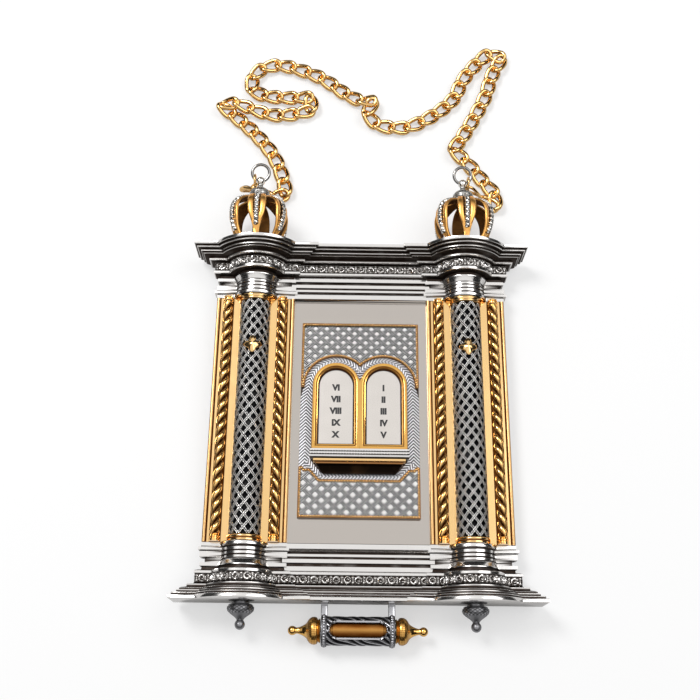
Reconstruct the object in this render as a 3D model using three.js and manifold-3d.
// Torah shield breastplate: an ornamental silver and gold plaque in the form of a small portico,
// lying on its back with its neck chain laid out above it.
//
// Units are millimetres. +X is to the wearer's left as seen from the front, +Y runs from the
// roller at the bottom to the crowns at the top, and +Z comes out of the decorated face.
// The origin is at the middle of the object's outline without its chain, on the flat back.

import * as THREE from 'three';
import { mergeVertices } from 'three/addons/utils/BufferGeometryUtils.js';
import Module from 'manifold-3d';

const wasm = await Module();
wasm.setup();

// Clearances
const seat = 0.3; // between pieces that seat on one another
const runningGap = 0.35; // between a turning piece and what it turns in
const overrun = 1; // how far a cutting tool runs past a face
const samePoint = 0.001; // points closer than this count as one

// Body: the field between the mouldings, and the depths behind its face
const fieldWidth = 213;
const fieldHeight = 180.4;
const pilasterWidth = 57.5;
const coverDepth = 6.7;
const bodyDepth = 7;
const bodyPlateThickness = 1.5;
const centrePanelSetBack = 4;

// Mouldings of the cornice, repeated upside down on the plinth
const mouldingHeight = 39.2;
const mouldingReach = 17.4;
const middleSetBack = 2.5;
const bastionRadius = 0.3304 * pilasterWidth; // where the moulding's reach is nil
const bastionSetBack = 5; // of its centre behind the face

// Half-round column on each pilaster, with its collars
const columnRadius = 0.193 * pilasterWidth;
const columnWall = 2.6;
const latticeHollow = 1.3; // depth of each opening between the bars
const collarRadius = 0.2783 * pilasterWidth; // at the wide end of the upper one
const collarHeight = 4;

// Rope columns beside it, and the channel that each lies in
const ropeRadius = 0.0591 * pilasterWidth;
const ropeSpacing = 0.3478 * pilasterWidth; // from the column's axis
const channelWidth = 0.1357 * pilasterWidth;
const channelDepth = 1.2;
const ropeEndHeight = 5;
const ropeEndRadius = 0.0643 * pilasterWidth;
const edgeBeadWidth = 0.0417 * pilasterWidth;
const edgeBeadHeight = 1.2;
const edgeGrooveWidth = 0.0139 * pilasterWidth;
const edgeGrooveDepth = 0.8;

// Plain boss on each column
const bossWidth = 0.226 * pilasterWidth;
const bossThickness = 1.2;
const bossWaistShare = 0.33; // how far its sides bow inward
const bossHeight = 0.2772 * fieldHeight; // above the middle of the field

// Central plaque
const plaqueWidth = 0.8673 * (fieldWidth - 2 * pilasterWidth);
const plaqueTop = 0.3958 * fieldHeight; // above the middle of the field
const plaqueBottom = 0.403 * fieldHeight; // below the middle of the field
const plaqueSheet = 1.5;
const borderWidth = 1.7;
const borderThickness = 1.9;
const archAxis = 0.2 * plaqueWidth; // from the centre line to the middle of each tablet
const archSpring = 0.1253 * fieldHeight; // where the arches spring, above the middle of the field
const frameWidth = 0.0553 * plaqueWidth; // of the gold band round each tablet
const frameThickness = 5;
const frameBevel = 0.0188 * plaqueWidth;
const tabletWidth = 0.2918 * plaqueWidth;
const tabletThickness = 2.4;
const tabletFoot = 0.1147 * fieldHeight; // below the middle of the field
const surroundWidth = 0.0671 * plaqueWidth; // of the engraved band between the frame and the upper lattice
const upperLatticeFoot = 0.1197 * fieldHeight; // above the middle of the field
const lowerLatticeShoulder = 0.2112 * fieldHeight; // below the middle of the field
const lowerLatticeStep = 3.3;
const lowerLatticeNotch = 10.4;
const lowerNotchTop = 0.4235 * plaqueWidth; // half its width where it starts
const lowerNotchBend = 0.3882 * plaqueWidth;
const lowerNotchFoot = 0.3176 * plaqueWidth;

// Shelf under the tablets
const shelfWidth = 0.8188 * plaqueWidth;
const shelfHeight = 5.9;
const shelfDepth = 9;
const shelfBarWidth = 0.7576 * plaqueWidth;
const shelfBarHeight = 2.4;
const shelfBarDepth = 7.4;
const corbelTopWidth = 0.7294 * plaqueWidth;
const corbelFootWidth = 0.5976 * plaqueWidth;
const corbelHeight = 7.4;
const corbelDepth = 6;

// Crowns
const crownRadius = 20.8; // to the middle of a rib at its widest
const crownHeight = 37.4; // to the middle of the ribs where they meet
const crownAxisHeight = 24.2; // above the flat back
const ribCount = 6;
const ribWidth = 13.4;
const ribThickness = 1.5;
const crownFootRadius = 12.5;
const crownFootHeight = 1.8;
const crownFootTaper = 0.9;
const crownTopRadius = 8.4;
const ribRopeRadius = 1;

// Domed cap on each crown, with the pierced ball that holds the ring
const capRadius = 7.9;
const capHeight = 10.6;
const capNeckRadius = 1.9;
const capNeckHeight = 3;
const capBallRadius = 3.4;
const capBallHole = 2;
const ballSeatShare = 0.8; // how much of a ball's radius shows past its neck

// Hanging rings, free in the balls
const ringRadius = 6.6;
const ringWire = 1.15;
const ringTilt = THREE.MathUtils.degToRad(15);

// Finials under the plinth
const finialRadius = 9;
const finialHeight = 11.6;
const finialNeckRadius = 2.2;
const finialBallRadius = 3.4;
const finialAxisHeight = 15;

// Roller with its sleeve, hangers and knobs
const rollerDrop = 17.6; // from the foot of the plinth to the roller's axis
const rollerAxisHeight = 11;
const sleeveRadius = 9.3;
const sleeveBore = 7.5;
const sleeveLength = 48.8;
const windowLength = 37;
const windowWidth = 10.4;
const windowRim = 1.1;
const windowRimHeight = 0.8;
const spindleRadius = 1.8;
const spindleBore = 2.2;
const sleeveEndWall = 1.8;
const bandWidth = 3.4;
const bandThickness = 0.9;
const bandSpacing = 22.4; // from the middle to each band
const strapWidth = 4.5;
const strapThickness = 1.4;
const strapFootHeight = 1.2;
const strapFootDepth = 6;
const knobRadius = 8.9;
const knobLength = 10.2;
const knobNeckRadius = 2.2;
const knobNeckLength = 6;
const knobBallRadius = 3;

// Screws that hold the back cover
const screwRadius = 1.5;
const screwHeadRadius = 2.9;
const screwHeadHeight = 1.5;
const screwInset = 6;
const coverInset = 8.5; // of the cover's front edge from the field's sides
const coverOverlap = 27.8; // of the cover past the field's ends, behind the mouldings
const coverSlope = 3;
const coverRimWidth = 12;
const coverFloor = 1.2;

// Chain
const linkPitch = 12.4;
const linkWidth = 10;
const linkWire = 1.2; // radius of the link's wire
const linkBite = 0.25; // how far each link's wire beds into the next
const linkTwistShare = 0.46;
const linkRoundness = 0.8; // below one, the link's ends are fuller than an oval's
const endRingRadius = 5;
const endRingWire = 0.75;
const endRingOffset = 4.2; // from the ball's centre, along the hinge axis
const endWireAngle = THREE.MathUtils.degToRad(-120); // where the last link lies in it

// Levels and places that follow from the sizes above
const bodyBack = coverDepth + seat;
const faceLevel = bodyBack + bodyDepth;
const plateFront = bodyBack + bodyPlateThickness;
const centreFace = faceLevel - centrePanelSetBack;
const fieldHalf = fieldHeight / 2;
const pilasterAxis = (fieldWidth - pilasterWidth) / 2;
const mouldingFoot = fieldHalf + seat;
const mouldingTop = mouldingFoot + mouldingHeight;
const crownFoot = mouldingTop + seat;
const capFoot = crownFoot + crownHeight + ribThickness / 2 + seat;
const ballHeight = capFoot + capHeight + capNeckHeight + capBallRadius * ballSeatShare;
const rollerAxis = mouldingTop + rollerDrop;
const bandRadius = sleeveRadius + seat + bandThickness;
const topReach = ballHeight + (2 * ringRadius + ringWire) * Math.cos(ringTilt);
const bottomReach = rollerAxis + bandRadius;
const outlineMiddle = (topReach - bottomReach) / 2;

// Facets
const halfRoundFacets = 10;
const latticeColumns = 10; // half openings round a column
const latticeRows = 40; // half openings along it
const archFacets = 14;
const arcDivisions = 6;
const turnedFacets = 16;
const sleeveFacets = 20;
const smallFacets = 8;
const ballSteps = 6;
const ropeSides = 4;
const linkSides = 4;
const linkSteps = 8;
const samplesPerLink = 60;

const silver = new THREE.MeshStandardMaterial({ color: 0xc9c9cc, roughness: 0.22, metalness: 1 });
const polished = new THREE.MeshStandardMaterial({ color: 0xb9b8b6, roughness: 0.3, metalness: 1 });
const oxidised = new THREE.MeshStandardMaterial({ color: 0x77777c, roughness: 0.4, metalness: 1 });
const gold = new THREE.MeshStandardMaterial({ color: 0xd9a441, roughness: 0.25, metalness: 1 });
const steel = new THREE.MeshStandardMaterial({ color: 0x8c8c90, roughness: 0.4, metalness: 1 });

const shield = new THREE.Group();
shield.position.y = -outlineMiddle;

// Adds a named piece to the shield, at a place of its own where one is given.
function addPiece(name, geometry, material, place = new THREE.Vector3()) {
  const mesh = new THREE.Mesh(geometry, material);
  mesh.name = name;
  mesh.position.copy(place);
  shield.add(mesh);
  return mesh;
}

// Turns the faces of a closed geometry outward, whichever way its outline ran.
function outward(geometry) {
  const points = geometry.getAttribute('position');
  const index = geometry.index.array;
  const corner = (i) => new THREE.Vector3().fromBufferAttribute(points, index[i]);
  let volume = 0;
  for (let i = 0; i < index.length; i += 3) {
    volume += corner(i).dot(corner(i + 1).cross(corner(i + 2)));
  }
  if (volume < 0) {
    geometry.setIndex(Array.from(index).reverse());
  }
  return geometry;
}

function indexed(points, index) {
  const geometry = new THREE.BufferGeometry();
  const positions = points.flatMap((point) => [point.x, point.y, point.z]);
  geometry.setAttribute('position', new THREE.Float32BufferAttribute(positions, 3));
  geometry.setIndex(index);
  return outward(geometry);
}

// Joins rings of equally many points into one solid, with flat ends or as a closed loop.
// Where crossed(ring, i) is true, the quad's diagonal starts at that point.
function loft(rings, closed = false, crossed = () => false) {
  const count = rings[0].length;
  const index = [];
  const spans = closed ? rings.length : rings.length - 1;
  for (let ring = 0; ring < spans; ring++) {
    const next = ((ring + 1) % rings.length) * count;
    for (let i = 0; i < count; i++) {
      const a = ring * count + i;
      const b = ring * count + (i + 1) % count;
      const c = next + i;
      const d = next + (i + 1) % count;
      index.push(...(crossed(ring, i) ? [a, b, d, a, d, c] : [a, b, c, b, d, c]));
    }
  }
  if (!closed) {
    const last = (rings.length - 1) * count;
    for (let i = 1; i + 1 < count; i++) {
      index.push(0, i + 1, i, last, last + i, last + i + 1);
    }
  }
  return indexed(rings.flat(), index);
}

function solidOf(geometry) {
  const bare = geometry.clone();
  bare.deleteAttribute('normal');
  bare.deleteAttribute('uv');
  const welded = mergeVertices(bare);
  const mesh = new wasm.Mesh({
    numProp: 3,
    vertProperties: new Float32Array(welded.getAttribute('position').array),
    triVerts: new Uint32Array(welded.index.array),
  });
  return new wasm.Manifold(mesh);
}

function geometryOf(solid) {
  const mesh = solid.getMesh();
  const geometry = new THREE.BufferGeometry();
  geometry.setAttribute('position', new THREE.BufferAttribute(mesh.vertProperties, 3));
  geometry.setIndex(new THREE.BufferAttribute(mesh.triVerts, 1));
  return geometry;
}

function joined(geometries) {
  return geometries.map(solidOf).reduce((whole, solid) => whole.add(solid));
}

// Rectangular ring at one height along Y.
function blockRing(left, right, back, front, height) {
  return [
    new THREE.Vector3(left, height, back),
    new THREE.Vector3(right, height, back),
    new THREE.Vector3(right, height, front),
    new THREE.Vector3(left, height, front),
  ];
}

// D-shaped ring at one height along Y: a half circle, in front of a straight-sided back where
// the back lies behind its centre.
function bayRing(radius, back, centre, height, facets = halfRoundFacets) {
  const start = Math.asin(Math.max(back - centre, 0) / radius);
  const arc = [];
  for (let i = 0; i <= facets; i++) {
    const angle = start + (Math.PI - 2 * start) * i / facets;
    arc.push(new THREE.Vector3(radius * Math.cos(angle), height, centre + radius * Math.sin(angle)));
  }
  if (back >= centre) {
    return arc;
  }
  return [new THREE.Vector3(radius, height, back), ...arc, new THREE.Vector3(-radius, height, back)];
}

// Solid turned about the Y axis from [radius, height] points that start and end on the axis.
function turned(outline, facets = turnedFacets) {
  const points = outline.map(([radius, height]) => new THREE.Vector2(radius, height));
  const geometry = new THREE.LatheGeometry(points, facets);
  geometry.deleteAttribute('normal');
  geometry.deleteAttribute('uv');
  return outward(mergeVertices(geometry));
}

// An outline's points, without those that repeat the one before.
function distinct(points) {
  const kept = points.filter((point, i) => point.distanceTo(points.at(i - 1)) > samePoint);
  return kept.map((point) => point.clone());
}

// Flat outline in the XY plane, raised from one level to another.
function sheet(outline, from, to) {
  const shape = new THREE.Shape(distinct(outline.getPoints(arcDivisions)));
  for (const hole of outline.holes) {
    shape.holes.push(new THREE.Path(distinct(hole.getPoints(arcDivisions))));
  }
  const geometry = new THREE.ExtrudeGeometry(shape, { depth: to - from, bevelEnabled: false });
  return geometry.translate(0, 0, from);
}

function rectangle(left, right, bottom, top) {
  return new THREE.Shape([
    new THREE.Vector2(left, bottom),
    new THREE.Vector2(right, bottom),
    new THREE.Vector2(right, top),
    new THREE.Vector2(left, top),
  ]);
}

// Moulding profiles, bottom to top: [share of the reach, share of the height]
const upperMouldingShares = [
  [0.167, 0.485], [0.201, 0.495], [0.201, 0.536], [0.161, 0.541], [0.161, 0.694], [0.241, 0.719],
  [0.402, 0.724], [0.402, 0.778], [0.638, 0.811], [0.638, 0.834], [0.73, 0.844], [0.73, 0.888],
  [0.891, 0.89], [0.891, 0.934], [1, 0.936], [1, 1],
];
const pilasterMouldingShares = [
  [0.017, 0], [0.017, 0.061], [0.115, 0.082], [0.115, 0.138], [0.046, 0.156], [0.046, 0.25],
  [-0.149, 0.26], [-0.149, 0.339], [0.029, 0.344], [0.029, 0.403], [-0.069, 0.418],
  [-0.034, 0.464],
  ...upperMouldingShares,
];
const middleMouldingShares = [
  [0.172, 0], [0.172, 0.097], [0.023, 0.158], [0.029, 0.26], [0.029, 0.324], [-0.075, 0.337],
  [-0.075, 0.383], [0.029, 0.388], [0.029, 0.464],
  ...upperMouldingShares,
];
const bastionMouldingShares = [
  [-0.126, 0], [-0.103, 0.013], [-0.103, 0.069], [-0.172, 0.087], [-0.178, 0.306], [-0.149, 0.342],
  [-0.08, 0.406], [-0.046, 0.464],
  ...upperMouldingShares,
];

// Mouldings in plan: a block over each pilaster with its round bastion, and the middle set back.
// They are closed at the back, so they are solid.
function mouldings() {
  const level = ([, heightShare]) => mouldingFoot + mouldingHeight * heightShare;
  const reach = ([reachShare]) => mouldingReach * reachShare;
  const halfField = fieldWidth / 2;
  const innerEdge = halfField - pilasterWidth;
  const blocks = loft(pilasterMouldingShares.map((row) => blockRing(
    innerEdge - reach(row), halfField + reach(row), bodyBack, faceLevel + reach(row), level(row),
  )));
  const bastions = loft(bastionMouldingShares.map((row) => bayRing(
    bastionRadius + reach(row), bodyBack, faceLevel - bastionSetBack, level(row),
  )));
  const middle = loft(middleMouldingShares.map((row) => blockRing(
    -pilasterAxis, pilasterAxis, bodyBack, faceLevel - middleSetBack + reach(row), level(row),
  )));
  bastions.translate(pilasterAxis, 0, 0);
  const half = solidOf(blocks).add(solidOf(bastions));
  return geometryOf(half.add(half.mirror([1, 0, 0])).add(solidOf(middle)));
}

function addMouldings() {
  const geometry = mouldings();
  addPiece('cornice', geometry, silver);
  const plinth = addPiece('plinth', geometry, silver);
  plinth.rotation.z = Math.PI;
}

// Back cover: a shallow dish with sloping sides, and the screws that hold it.
function screwPlaces() {
  const x = fieldWidth / 2 - coverInset - coverSlope - screwInset;
  const y = fieldHalf - coverRimWidth;
  return [[-x, -y], [x, -y], [-x, y], [x, y]];
}

function addBackCover() {
  const halfWidth = fieldWidth / 2 - coverInset;
  const halfHeight = fieldHalf + coverOverlap;
  const level = (inset, height) => [
    new THREE.Vector3(-halfWidth + inset, -halfHeight + inset, height),
    new THREE.Vector3(halfWidth - inset, -halfHeight + inset, height),
    new THREE.Vector3(halfWidth - inset, halfHeight - inset, height),
    new THREE.Vector3(-halfWidth + inset, halfHeight - inset, height),
  ];
  const dish = loft([level(coverSlope, 0), level(0, coverDepth)]);
  const pocket = loft([
    level(coverRimWidth + coverSlope, coverFloor),
    level(coverRimWidth, coverDepth + overrun),
  ]);
  const sink = screwHeadRadius + seat;
  const sinkHeight = screwHeadHeight + 2 * seat;
  const bore = screwRadius + seat;
  const hole = turned([
    [0, -overrun], [sink, -overrun], [sink, sinkHeight], [bore, sinkHeight],
    [bore, plateFront + overrun], [0, plateFront + overrun],
  ], smallFacets).rotateX(Math.PI / 2);
  const holes = screwPlaces().map(([x, y]) => hole.clone().translate(x, y, 0));
  const drilled = (geometry) => geometryOf(
    holes.map(solidOf).reduce((rest, tool) => rest.subtract(tool), solidOf(geometry)),
  );
  const hollowed = geometryOf(solidOf(dish).subtract(solidOf(pocket)));
  addPiece('back_cover', drilled(hollowed), silver);
  const halfField = fieldWidth / 2;
  const plate = sheet(rectangle(-halfField, halfField, -fieldHalf, fieldHalf), bodyBack, plateFront);
  addPiece('body_plate', drilled(plate), silver);
}

function addScrews() {
  const outline = [
    [0, seat], [screwHeadRadius, seat], [screwHeadRadius, screwHeadHeight + seat],
    [screwRadius, screwHeadHeight + seat], [screwRadius, plateFront], [0, plateFront],
  ];
  const screw = turned(outline, smallFacets).rotateX(Math.PI / 2);
  screwPlaces().forEach(([x, y], i) => {
    addPiece(`cover_screw_${i + 1}`, screw, steel, new THREE.Vector3(x, y, 0));
  });
}

function addCentrePanel() {
  const halfWidth = fieldWidth / 2 - pilasterWidth - seat;
  const shape = rectangle(-halfWidth, halfWidth, -fieldHalf, fieldHalf);
  addPiece('centre_panel', sheet(shape, plateFront + seat, centreFace), polished);
}

// Gold panel of a pilaster: edge beads, grooves and a channel for each rope column.
function pilasterPanel() {
  const half = pilasterWidth / 2;
  const back = plateFront + seat;
  const edge = half - edgeBeadWidth;
  const groove = edge - edgeGrooveWidth;
  const channel = channelWidth / 2;
  const side = [
    [half, back], [half, faceLevel + edgeBeadHeight], [edge, faceLevel + edgeBeadHeight],
    [edge, faceLevel - edgeGrooveDepth], [groove, faceLevel - edgeGrooveDepth], [groove, faceLevel],
    [ropeSpacing + channel, faceLevel], [ropeSpacing + channel, faceLevel - channelDepth],
    [ropeSpacing - channel, faceLevel - channelDepth], [ropeSpacing - channel, faceLevel],
  ];
  const other = side.map(([x, z]) => [-x, z]).reverse();
  const shape = new THREE.Shape([...side, ...other].map(([x, z]) => new THREE.Vector2(x, -z)));
  const geometry = new THREE.ExtrudeGeometry(shape, { depth: fieldHeight, bevelEnabled: false });
  return geometry.rotateX(-Math.PI / 2).translate(0, -fieldHalf, 0);
}

// Rope column: a shaft between two turned ends, lying in its channel.
const ropeEndShares = [[1, 0], [1, 0.25], [0.8, 0.35], [1, 0.55], [0.8, 0.8]];

function ropeColumn() {
  const ends = ropeEndShares.map(([r, h]) => [ropeEndRadius * r, -fieldHalf + ropeEndHeight * h]);
  const shaft = [[ropeRadius, -fieldHalf + ropeEndHeight], [ropeRadius, fieldHalf - ropeEndHeight]];
  const far = ends.map(([r, y]) => [r, -y]).reverse();
  const outline = [[0, -fieldHalf], ...ends, ...shaft, ...far, [0, fieldHalf]];
  return turned(outline, smallFacets);
}

// Half-round column between its collars: bars cross on the diagonal, with a hollow between them.
function latticeColumn() {
  const end = fieldHalf - collarHeight - seat;
  const back = faceLevel + seat;
  const rings = [];
  for (let row = 0; row <= latticeRows; row++) {
    const ring = bayRing(columnRadius, back, faceLevel, -end + 2 * end * row / latticeRows, latticeColumns);
    const open = row > 0 && row < latticeRows;
    rings.push(ring.map((point, i) => {
      const hollow = open && i > 0 && i < latticeColumns && (row + i) % 2 === 1;
      const share = hollow ? 1 - latticeHollow / columnRadius : 1;
      return new THREE.Vector3(point.x * share, point.y, faceLevel + (point.z - faceLevel) * share);
    }));
  }
  const outside = loft(rings, false, (row, i) => (row + i) % 2 === 0);
  const inside = loft([-end - overrun, end + overrun].map((height) => (
    bayRing(columnRadius - columnWall, faceLevel - overrun, faceLevel, height)
  )));
  return geometryOf(solidOf(outside).subtract(solidOf(inside)));
}

// Gold collars at a column's ends, from the inner edge: [share of the radius, share of the height,
// share of the bastion's set-back]. The upper one flares towards its bastion.
const topCollarShares = [
  [0.73, 0, 0], [0.75, 0.3, 0], [0.72, 0.4, 0], [0.8, 0.6, 0.2], [1, 0.95, 0.9], [1, 1, 0.9],
];
const footCollarShares = [
  [0.7, 0, 0], [0.75, 0.2, 0], [0.75, 0.5, 0], [0.71, 0.65, 0], [0.75, 0.8, 0], [0.75, 1, 0],
];

function columnCollar(shares) {
  return loft(shares.map(([radius, height, depth]) => bayRing(
    collarRadius * radius, faceLevel + seat, faceLevel - bastionSetBack * depth,
    fieldHalf - collarHeight * (1 - height),
  )));
}

// Small lozenge-shaped boss that sits on the column's front.
function columnBoss() {
  const half = bossWidth / 2;
  const waist = half * bossWaistShare;
  const corners = [[half, 0], [waist, waist], [0, half], [-waist, waist]];
  const others = corners.map(([x, y]) => [-x, -y]);
  const shape = new THREE.Shape([...corners, ...others].map(([x, y]) => new THREE.Vector2(x, y)));
  const from = faceLevel + columnRadius + seat;
  return sheet(shape, from, from + bossThickness).translate(0, bossHeight, 0);
}

function addPilasters() {
  const panel = pilasterPanel();
  const rope = ropeColumn();
  const column = latticeColumn();
  const topCollar = columnCollar(topCollarShares);
  const footCollar = columnCollar(footCollarShares);
  const boss = columnBoss();
  const ropeLevel = faceLevel - channelDepth + seat + ropeEndRadius;
  for (const [side, sign] of [['left', -1], ['right', 1]]) {
    const place = new THREE.Vector3(sign * pilasterAxis, 0, 0);
    addPiece(`${side}_pilaster_panel`, panel, gold, place);
    addPiece(`${side}_lattice_column`, column, oxidised, place);
    addPiece(`${side}_column_collar_top`, topCollar, gold, place);
    addPiece(`${side}_column_collar_foot`, footCollar, gold, place).rotation.z = Math.PI;
    addPiece(`${side}_column_boss`, boss, gold, place);
    for (const [where, reach] of [['outer', sign], ['inner', -sign]]) {
      const ropePlace = new THREE.Vector3(place.x + reach * ropeSpacing, 0, ropeLevel);
      addPiece(`${side}_${where}_rope`, rope, gold, ropePlace);
    }
  }
}

// Outline of the upper lattice plate: a rectangle with two arches cut from its foot.
function upperLatticeOutline(inset) {
  const half = plaqueWidth / 2 - inset;
  const radius = tabletWidth / 2 + frameWidth + surroundWidth + inset;
  const sideReach = Math.min(half - archAxis, radius);
  const sideHeight = archSpring + Math.sqrt(radius ** 2 - sideReach ** 2);
  const foot = sideReach < radius ? sideHeight : upperLatticeFoot + inset;
  const footReach = Math.sqrt(radius ** 2 - (foot - archSpring) ** 2);
  const valley = archSpring + Math.sqrt(radius ** 2 - archAxis ** 2);
  const start = Math.atan2(foot - archSpring, footReach);
  const meet = Math.atan2(valley - archSpring, -archAxis);
  const shape = new THREE.Shape();
  shape.moveTo(half, foot);
  shape.lineTo(half, plaqueTop - inset);
  shape.lineTo(-half, plaqueTop - inset);
  shape.lineTo(-half, foot);
  shape.lineTo(-archAxis - footReach, foot);
  shape.absarc(-archAxis, archSpring, radius, Math.PI - start, Math.PI - meet, true);
  shape.absarc(archAxis, archSpring, radius, meet, start, true);
  shape.lineTo(half, foot);
  return shape;
}

// Outline of the lower lattice plate: its top edge steps down in the middle to clear the shelf.
function lowerLatticeOutline(inset) {
  const half = plaqueWidth / 2 - inset;
  const shoulder = -lowerLatticeShoulder - inset;
  const step = shoulder - lowerLatticeStep;
  const notch = shoulder - lowerLatticeNotch;
  const foot = -plaqueBottom + inset;
  const side = [
    [half, foot], [half, shoulder], [lowerNotchTop + inset, step],
    [lowerNotchBend + inset, step], [lowerNotchFoot, notch],
  ];
  const other = side.map(([x, y]) => [-x, y]).reverse();
  return new THREE.Shape([...side, ...other].map(([x, y]) => new THREE.Vector2(x, y)));
}

function borderOf(outline) {
  const shape = outline(0);
  shape.holes.push(new THREE.Path(outline(borderWidth).getPoints(arcDivisions)));
  return shape;
}

// Arch-shaped ring of points at one level: straight sides up to the spring, then a half circle.
function archRing(axis, halfWidth, foot, level) {
  const ring = [new THREE.Vector3(axis + halfWidth, foot, level)];
  for (let i = 0; i <= archFacets; i++) {
    const angle = Math.PI * i / archFacets;
    const x = axis + halfWidth * Math.cos(angle);
    ring.push(new THREE.Vector3(x, archSpring + halfWidth * Math.sin(angle), level));
  }
  ring.push(new THREE.Vector3(axis - halfWidth, foot, level));
  return ring;
}

// Gold frame round both tablets: two arches that meet in a valley over the mullion, bevelled
// on the outside, with an opening for each tablet that widens towards the front.
function tabletFrame(back) {
  const front = back + frameThickness;
  const inside = tabletWidth / 2;
  const outside = inside + frameWidth;
  const foot = -tabletFoot - frameWidth;
  const arches = [-archAxis, archAxis].map((axis) => loft([
    archRing(axis, outside, foot, back),
    archRing(axis, outside, foot, front - frameBevel),
    archRing(axis, outside - frameBevel, foot + frameBevel, front),
  ]));
  const openings = [-archAxis, archAxis].map((axis) => loft([
    archRing(axis, inside, -tabletFoot, back - overrun),
    archRing(axis, inside, -tabletFoot, front - frameBevel),
    archRing(axis, inside + frameBevel, -tabletFoot - frameBevel, front),
    archRing(axis, inside + frameBevel, -tabletFoot - frameBevel, front + overrun),
  ]));
  return geometryOf(joined(arches).subtract(joined(openings)));
}

function addPlaque() {
  const half = plaqueWidth / 2;
  const surroundBack = centreFace + seat;
  const surroundFront = surroundBack + plaqueSheet;
  const laidOn = surroundFront + seat;
  const surround = sheet(rectangle(-half, half, -plaqueBottom, plaqueTop), surroundBack, surroundFront);
  addPiece('engraved_surround', surround, oxidised);
  for (const [name, outline] of [['upper', upperLatticeOutline], ['lower', lowerLatticeOutline]]) {
    const border = sheet(borderOf(outline), laidOn, laidOn + borderThickness);
    addPiece(`${name}_border`, border, gold);
    const plate = sheet(outline(borderWidth + seat), laidOn, laidOn + plaqueSheet);
    addPiece(`${name}_lattice_plate`, plate, oxidised);
  }
  addPiece('tablet_frame', tabletFrame(laidOn), gold);
  for (const [side, axis] of [['left', -archAxis], ['right', archAxis]]) {
    const tablet = loft([laidOn, laidOn + tabletThickness].map((level) => (
      archRing(axis, tabletWidth / 2 - seat, -tabletFoot + seat, level)
    )));
    addPiece(`${side}_tablet`, tablet, silver);
  }
  addShelf(laidOn);
}

// Sections of the shelf's bars: [share of the depth, share of the height]
const ledgeShares = [[0, 0], [0.7, 0], [0.86, 0.3], [1, 0.45], [1, 1], [0, 1]];
const ledgeBarShares = [[0, 0], [1, 0], [1, 1], [0, 1]];
const corbelShares = [[0, 0], [0.4, 0], [0.4, 0.2], [1, 0.7], [1, 1], [0, 1]];

// Bar along X, whose ends are square or drawn in towards the foot.
function shelfBar(shares, size, back, top) {
  const halfWidth = (height) => (size.footWidth + (size.topWidth - size.footWidth) * height) / 2;
  return loft([-1, 1].map((sign) => shares.map(([depth, height]) => new THREE.Vector3(
    sign * halfWidth(height), top - size.height * (1 - height), back + size.depth * depth,
  ))));
}

function addShelf(back) {
  const ledgeTop = -tabletFoot - frameWidth - seat;
  const barTop = ledgeTop - shelfHeight - seat;
  const corbelTop = barTop - shelfBarHeight - seat;
  const ledge = { topWidth: shelfWidth, footWidth: shelfWidth, height: shelfHeight, depth: shelfDepth };
  const bar = {
    topWidth: shelfBarWidth, footWidth: shelfBarWidth, height: shelfBarHeight, depth: shelfBarDepth,
  };
  const corbel = {
    topWidth: corbelTopWidth, footWidth: corbelFootWidth, height: corbelHeight, depth: corbelDepth,
  };
  addPiece('tablet_ledge', shelfBar(ledgeShares, ledge, back, ledgeTop), silver);
  addPiece('ledge_bar', shelfBar(ledgeBarShares, bar, back, barTop), gold);
  addPiece('ledge_corbel', shelfBar(corbelShares, corbel, back, corbelTop), gold);
}

// Crown rib, foot to top: [share of the radius, share of the height, share of the width]
const ribShares = [
  [0.5, 0.03, 0.26], [0.72, 0.13, 0.3], [0.89, 0.29, 0.56], [0.98, 0.46, 0.92], [1, 0.63, 1],
  [0.96, 0.76, 1], [0.85, 0.86, 0.96], [0.66, 0.94, 0.84], [0.42, 1, 0.6], [0.24, 1, 0.5],
];

function ribPath(offset) {
  const path = ribShares.map(([r, h]) => new THREE.Vector2(crownRadius * r, crownHeight * h));
  return path.map((point, i) => {
    const before = path[Math.max(i - 1, 0)];
    const after = path[Math.min(i + 1, path.length - 1)];
    const along = after.clone().sub(before).normalize();
    return point.clone().add(new THREE.Vector2(along.y, -along.x).multiplyScalar(offset));
  });
}

function crownRib() {
  const inner = ribPath(-ribThickness / 2);
  const outer = ribPath(ribThickness / 2);
  return loft(ribShares.map(([, , width], i) => {
    const half = ribWidth * width / 2;
    return [
      new THREE.Vector3(-half, inner[i].y, inner[i].x),
      new THREE.Vector3(half, inner[i].y, inner[i].x),
      new THREE.Vector3(half, outer[i].y, outer[i].x),
      new THREE.Vector3(-half, outer[i].y, outer[i].x),
    ];
  }));
}

// Copies of a piece set out evenly about the Y axis.
function around(geometry, count) {
  return Array.from({ length: count }, (_, i) => geometry.clone().rotateY(2 * Math.PI * i / count));
}

function crown() {
  const foot = turned([
    [0, 0], [crownFootRadius, 0], [crownFootRadius, crownFootHeight],
    [crownFootRadius * 0.9, 2 * crownFootHeight], [0, 2 * crownFootHeight],
  ]);
  const top = turned([
    [0, crownHeight - ribThickness / 2], [crownTopRadius, crownHeight - ribThickness / 2],
    [crownTopRadius, crownHeight + ribThickness / 2], [0, crownHeight + ribThickness / 2],
  ]);
  return geometryOf(joined([foot, top, ...around(crownRib(), ribCount)]));
}

// Silver rope laid along the outside of a rib, from its foot up to under the cap.
function ribRope() {
  const outside = ribPath(ribThickness / 2);
  const line = ribPath(ribThickness / 2 + seat + ribRopeRadius);
  const rings = line.map((point, i) => {
    const out = point.clone().sub(outside[i]).normalize();
    return Array.from({ length: ropeSides }, (_, side) => {
      const angle = 2 * Math.PI * side / ropeSides;
      const centre = point.clone().addScaledVector(out, -ribRopeRadius * Math.cos(angle));
      return new THREE.Vector3(ribRopeRadius * Math.sin(angle), centre.y, centre.x);
    });
  });
  return loft(rings.slice(1));
}

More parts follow.
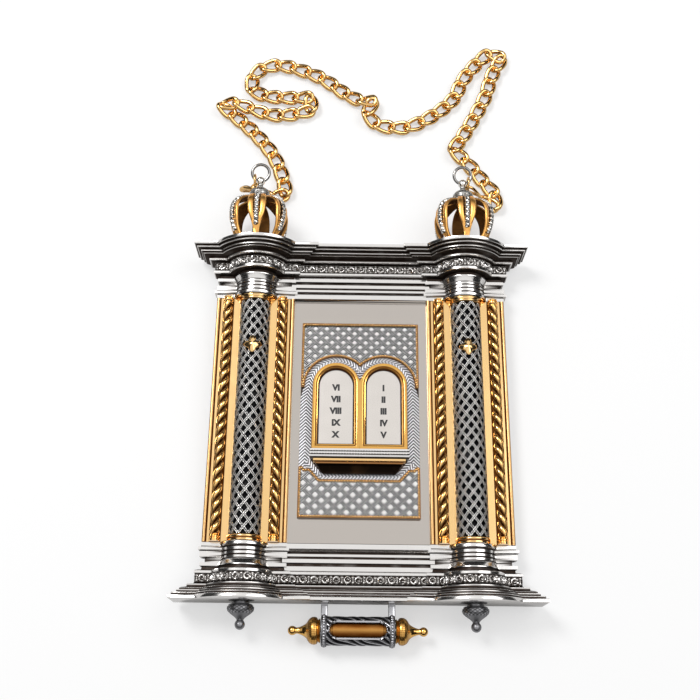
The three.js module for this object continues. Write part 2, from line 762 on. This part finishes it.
// Outline points of a ball at the end of a neck, from the neck to the ball's far end.
function ballOutline(radius, neckRadius, centre) {
  const start = Math.asin(neckRadius / radius);
  return Array.from({ length: ballSteps + 1 }, (_, i) => {
    const angle = start + (Math.PI - start) * i / ballSteps;
    return [i === ballSteps ? 0 : radius * Math.sin(angle), centre - radius * Math.cos(angle)];
  });
}

// Cap dome, rim to neck: [share of the radius, share of the height]
const capShares = [
  [0.74, 0], [0.9, 0.14], [1, 0.36], [1, 0.48], [0.86, 0.68], [0.56, 0.86], [0.32, 0.96],
];

// Domed cap with its neck and pierced ball, and the ropes that hang from it down the ribs.
function crownCap() {
  const foot = crownHeight + ribThickness / 2 + seat;
  const ball = ballHeight - crownFoot;
  const body = turned([
    [0, foot],
    ...capShares.map(([radius, height]) => [capRadius * radius, foot + capHeight * height]),
    [capNeckRadius, foot + capHeight], ...ballOutline(capBallRadius, capNeckRadius, ball),
  ]);
  const hole = new THREE.CylinderGeometry(capBallHole, capBallHole, 4 * capBallRadius, turnedFacets);
  hole.rotateZ(Math.PI / 2).translate(0, ball, 0);
  return geometryOf(joined([body, ...around(ribRope(), ribCount)]).subtract(solidOf(hole)));
}

function addCrowns() {
  const crownGeometry = crown();
  const cap = crownCap();
  const ring = new THREE.TorusGeometry(ringRadius, ringWire, ballSteps, turnedFacets);
  ring.translate(0, ringRadius, 0);
  for (const [side, sign] of [['left', -1], ['right', 1]]) {
    const place = new THREE.Vector3(sign * pilasterAxis, crownFoot, crownAxisHeight);
    addPiece(`${side}_crown`, crownGeometry, gold, place);
    addPiece(`${side}_crown_cap`, cap, silver, place);
    const ball = new THREE.Vector3(place.x, ballHeight, place.z);
    addPiece(`${side}_ring`, ring, silver, ball).rotation.x = ringTilt;
  }
}

// Finial under the plinth: [share of the radius, share of the height] down to its ball.
const finialShares = [[0.62, 0], [0.62, 0.1], [0.9, 0.14], [1, 0.3], [0.9, 0.52], [0.52, 0.74], [0.36, 0.82]];

function addFinials() {
  const ball = finialHeight + finialBallRadius * ballSeatShare;
  const outline = [
    [0, 0], ...finialShares.map(([radius, height]) => [finialRadius * radius, -finialHeight * height]),
    [finialNeckRadius, -finialHeight],
    ...ballOutline(finialBallRadius, finialNeckRadius, ball).map(([radius, height]) => [radius, -height]),
  ];
  const finial = turned(outline);
  for (const [side, sign] of [['left', -1], ['right', 1]]) {
    const place = new THREE.Vector3(sign * pilasterAxis, -mouldingTop - seat, finialAxisHeight);
    addPiece(`${side}_finial`, finial, silver, place);
  }
}

// Stadium-shaped outline along X.
function stadium(length, width) {
  const straight = (length - width) / 2;
  const shape = new THREE.Shape();
  shape.moveTo(-straight, -width / 2);
  shape.lineTo(straight, -width / 2);
  shape.absarc(straight, 0, width / 2, -Math.PI / 2, Math.PI / 2, false);
  shape.lineTo(-straight, width / 2);
  shape.absarc(-straight, 0, width / 2, Math.PI / 2, Math.PI * 1.5, false);
  return shape;
}

// Plain solid turned about the X axis from [radius, length] points.
function barrel(outline) {
  return turned(outline, sleeveFacets).rotateZ(Math.PI / 2);
}

// Sleeve: a tube with closed ends, a bore for the spindle in each, and a rimmed window in front.
function rollerSleeve() {
  const half = sleeveLength / 2;
  const inner = half - sleeveEndWall;
  const tube = barrel([[0, -half], [sleeveRadius, -half], [sleeveRadius, half], [0, half]]);
  const rimFront = sleeveRadius + windowRimHeight;
  const rim = sheet(stadium(windowLength + 2 * windowRim, windowWidth + 2 * windowRim), 0, rimFront);
  const bore = barrel([
    [0, -half - overrun], [spindleBore, -half - overrun], [spindleBore, -inner], [sleeveBore, -inner],
    [sleeveBore, inner], [spindleBore, inner], [spindleBore, half + overrun], [0, half + overrun],
  ]);
  const window = sheet(stadium(windowLength, windowWidth), 0, rimFront + overrun);
  return geometryOf(joined([tube, rim]).subtract(solidOf(bore)).subtract(solidOf(window)));
}

// Hanger: a band round the sleeve's end with a strap up to its foot under the plinth.
function rollerHanger() {
  const inner = sleeveRadius + seat;
  const half = bandWidth / 2;
  const cut = half + overrun;
  const band = barrel([[0, -half], [bandRadius, -half], [bandRadius, half], [0, half]]);
  const bore = barrel([[0, -cut], [inner, -cut], [inner, cut], [0, cut]]);
  const reach = rollerDrop - seat;
  const bar = (foot, depth) => (
    sheet(rectangle(-strapWidth / 2, strapWidth / 2, foot, reach), -depth / 2, depth / 2)
  );
  const strap = bar(inner, strapThickness);
  const foot = bar(reach - strapFootHeight, strapFootDepth);
  const ring = solidOf(band).add(solidOf(strap)).subtract(solidOf(bore));
  return geometryOf(ring.add(solidOf(foot)));
}

// Knob: [share of the radius, share of the length] outward from the sleeve's end.
const knobShares = [[0.5, 0], [0.9, 0.14], [1, 0.4], [0.78, 0.76], [0.5, 0.92], [0.3, 1]];

function knob() {
  const neck = knobLength + knobNeckLength;
  const outline = [
    [0, 0], ...knobShares.map(([radius, length]) => [knobRadius * radius, knobLength * length]),
    [knobNeckRadius, knobLength + knobNeckLength / 2],
    ...ballOutline(knobBallRadius, knobNeckRadius, neck + knobBallRadius * ballSeatShare),
  ];
  const socket = new THREE.CylinderGeometry(
    spindleRadius + seat, spindleRadius + seat, knobLength, smallFacets,
  );
  return geometryOf(solidOf(turned(outline)).subtract(solidOf(socket)));
}

// Inner roller: a drum inside the sleeve with a spindle out of each end.
function innerRoller() {
  const drum = sleeveLength / 2 - sleeveEndWall - runningGap;
  const radius = sleeveBore - runningGap;
  const end = sleeveLength / 2 + runningGap + knobLength / 2 - seat;
  return turned([
    [0, -end], [spindleRadius, -end], [spindleRadius, -drum], [radius, -drum],
    [radius, drum], [spindleRadius, drum], [spindleRadius, end], [0, end],
  ], turnedFacets).rotateZ(Math.PI / 2);
}

function addRoller() {
  const centre = new THREE.Vector3(0, -rollerAxis, rollerAxisHeight);
  addPiece('roller_sleeve', rollerSleeve(), silver, centre);
  addPiece('inner_roller', innerRoller(), gold, centre);
  const hanger = rollerHanger();
  const knobGeometry = knob();
  for (const [side, sign] of [['left', -1], ['right', 1]]) {
    addPiece(`${side}_hanger`, hanger, silver, centre.clone().setX(sign * bandSpacing));
    const knobPlace = centre.clone().setX(sign * (sleeveLength / 2 + runningGap));
    addPiece(`${side}_knob`, knobGeometry, gold, knobPlace).rotation.z = -sign * Math.PI / 2;
  }
}

// Chain route between the two end rings, in the object's own frame: hand-chosen points on the
// surface that the object lies on, over itself where it folds back and up to the ring at each end.
const chainRoute = [
  [-91, 164, 13.5], [-90, 166.2, 5], [-80, 164.5, 4], [-60.5, 158, 4], [-67, 193.5, 3.4],
  [-82.8, 217, 3.4], [-103, 237, 3.4], [-115.5, 246.5, 5.5], [-101, 247.5, 7.5], [-84.6, 242, 3.6],
  [-64, 238.6, 3.4], [-31, 249.5, 4.6], [-38, 255.5, 4.6], [-58.6, 256, 3.4], [-85, 259, 3.4],
  [-93.5, 267.5, 3.4], [-87, 281.5, 3.4], [-75, 289, 3.4], [-34, 276, 4], [-12, 259.5, 3.4],
  [3.4, 251.6, 5], [12, 250.5, 8.5], [0, 234.5, 3.6], [13, 231, 3.4], [36, 228.5, 3.4],
  [75, 255.7, 3.4], [85, 278.7, 3.4], [114, 307.5, 4.4], [117.5, 297.5, 4.4], [108.5, 283, 3.4],
  [103, 262, 3.4], [80, 217, 3.4], [73.5, 206.5, 4.6], [82, 199.5, 3.6], [98.5, 177, 3.4],
  [110, 159.5, 4], [104, 155, 4.4], [96.5, 160.8, 5], [92, 164, 12.5],
];

// Where the last link's end wire lies in each end ring, seen from the ball's centre.
function chainEnd(sign) {
  const inside = endRingRadius - endRingWire - linkWire + linkBite;
  return new THREE.Vector3(
    sign * (pilasterAxis + endRingOffset),
    ballHeight - outlineMiddle + inside * Math.cos(endWireAngle),
    crownAxisHeight + inside * Math.sin(endWireAngle),
  );
}

function chainCurve() {
  const middle = chainRoute.map((point) => new THREE.Vector3(...point));
  return new THREE.CatmullRomCurve3([chainEnd(-1), ...middle, chainEnd(1)], false, 'centripetal');
}

// Joints between the links: points on the curve, each one pitch from the last in a straight line.
function chainJoints(curve) {
  const fine = curve.getSpacedPoints(Math.round(curve.getLength() / linkPitch) * samplesPerLink);
  const joints = [fine[0]];
  for (const point of fine) {
    if (point.distanceTo(joints.at(-1)) >= linkPitch) {
      joints.push(point);
    }
  }
  joints[joints.length - 1] = fine.at(-1);
  return joints;
}

// Curb link between two joints: an oval of wire, twisted so that the chain lies flat.
function chainLink(from, to) {
  const along = to.clone().sub(from);
  const half = along.length() / 2 + linkWire - linkBite / 2;
  along.normalize();
  const up = new THREE.Vector3(0, Math.abs(along.z), Math.sqrt(1 - along.z ** 2));
  const across = new THREE.Vector3().crossVectors(up, along).normalize();
  up.crossVectors(along, across);
  const centre = from.clone().add(to).multiplyScalar(0.5);
  const halfWidth = linkWidth / 2 - linkWire;
  const fuller = (value) => Math.sign(value) * Math.abs(value) ** linkRoundness;
  const line = (turn) => {
    const x = half * fuller(Math.cos(turn));
    const y = halfWidth * fuller(Math.sin(turn));
    const z = linkTwistShare * halfWidth * Math.sin(2 * turn);
    return centre.clone().addScaledVector(along, x).addScaledVector(across, y).addScaledVector(up, z);
  };
  const rings = [];
  for (let i = 0; i < linkSteps; i++) {
    const turn = 2 * Math.PI * i / linkSteps;
    const point = line(turn);
    const tangent = line(turn + Math.PI / linkSteps).sub(line(turn - Math.PI / linkSteps)).normalize();
    const out = point.clone().sub(centre).projectOnPlane(tangent).normalize();
    const side = new THREE.Vector3().crossVectors(tangent, out);
    const ring = [];
    for (let j = 0; j < linkSides; j++) {
      const angle = 2 * Math.PI * j / linkSides;
      ring.push(point.clone()
        .addScaledVector(out, linkWire * Math.cos(angle))
        .addScaledVector(side, linkWire * Math.sin(angle)));
    }
    rings.push(ring);
  }
  return loft(rings, true);
}

// Gold ring beside each ball, round the hanging ring's wire and centred on its hinge axis.
function chainEndRing(sign) {
  const ring = new THREE.TorusGeometry(endRingRadius, endRingWire, ballSteps, turnedFacets);
  ring.rotateY(Math.PI / 2);
  ring.translate(sign * (pilasterAxis + endRingOffset), ballHeight - outlineMiddle, crownAxisHeight);
  return ring;
}

function neckChain() {
  const joints = chainJoints(chainCurve());
  const links = [];
  for (let i = 0; i + 1 < joints.length; i++) {
    links.push(chainLink(joints[i], joints[i + 1]));
  }
  return geometryOf(joined([chainEndRing(-1), ...links, chainEndRing(1)]));
}

addBackCover();
addScrews();
addMouldings();
addCentrePanel();
addPilasters();
addPlaque();
addCrowns();
addFinials();
addRoller();

const part = new THREE.Group();
part.add(shield);
const chain = new THREE.Mesh(neckChain(), gold);
chain.name = 'neck_chain';
part.add(chain);

export default part;
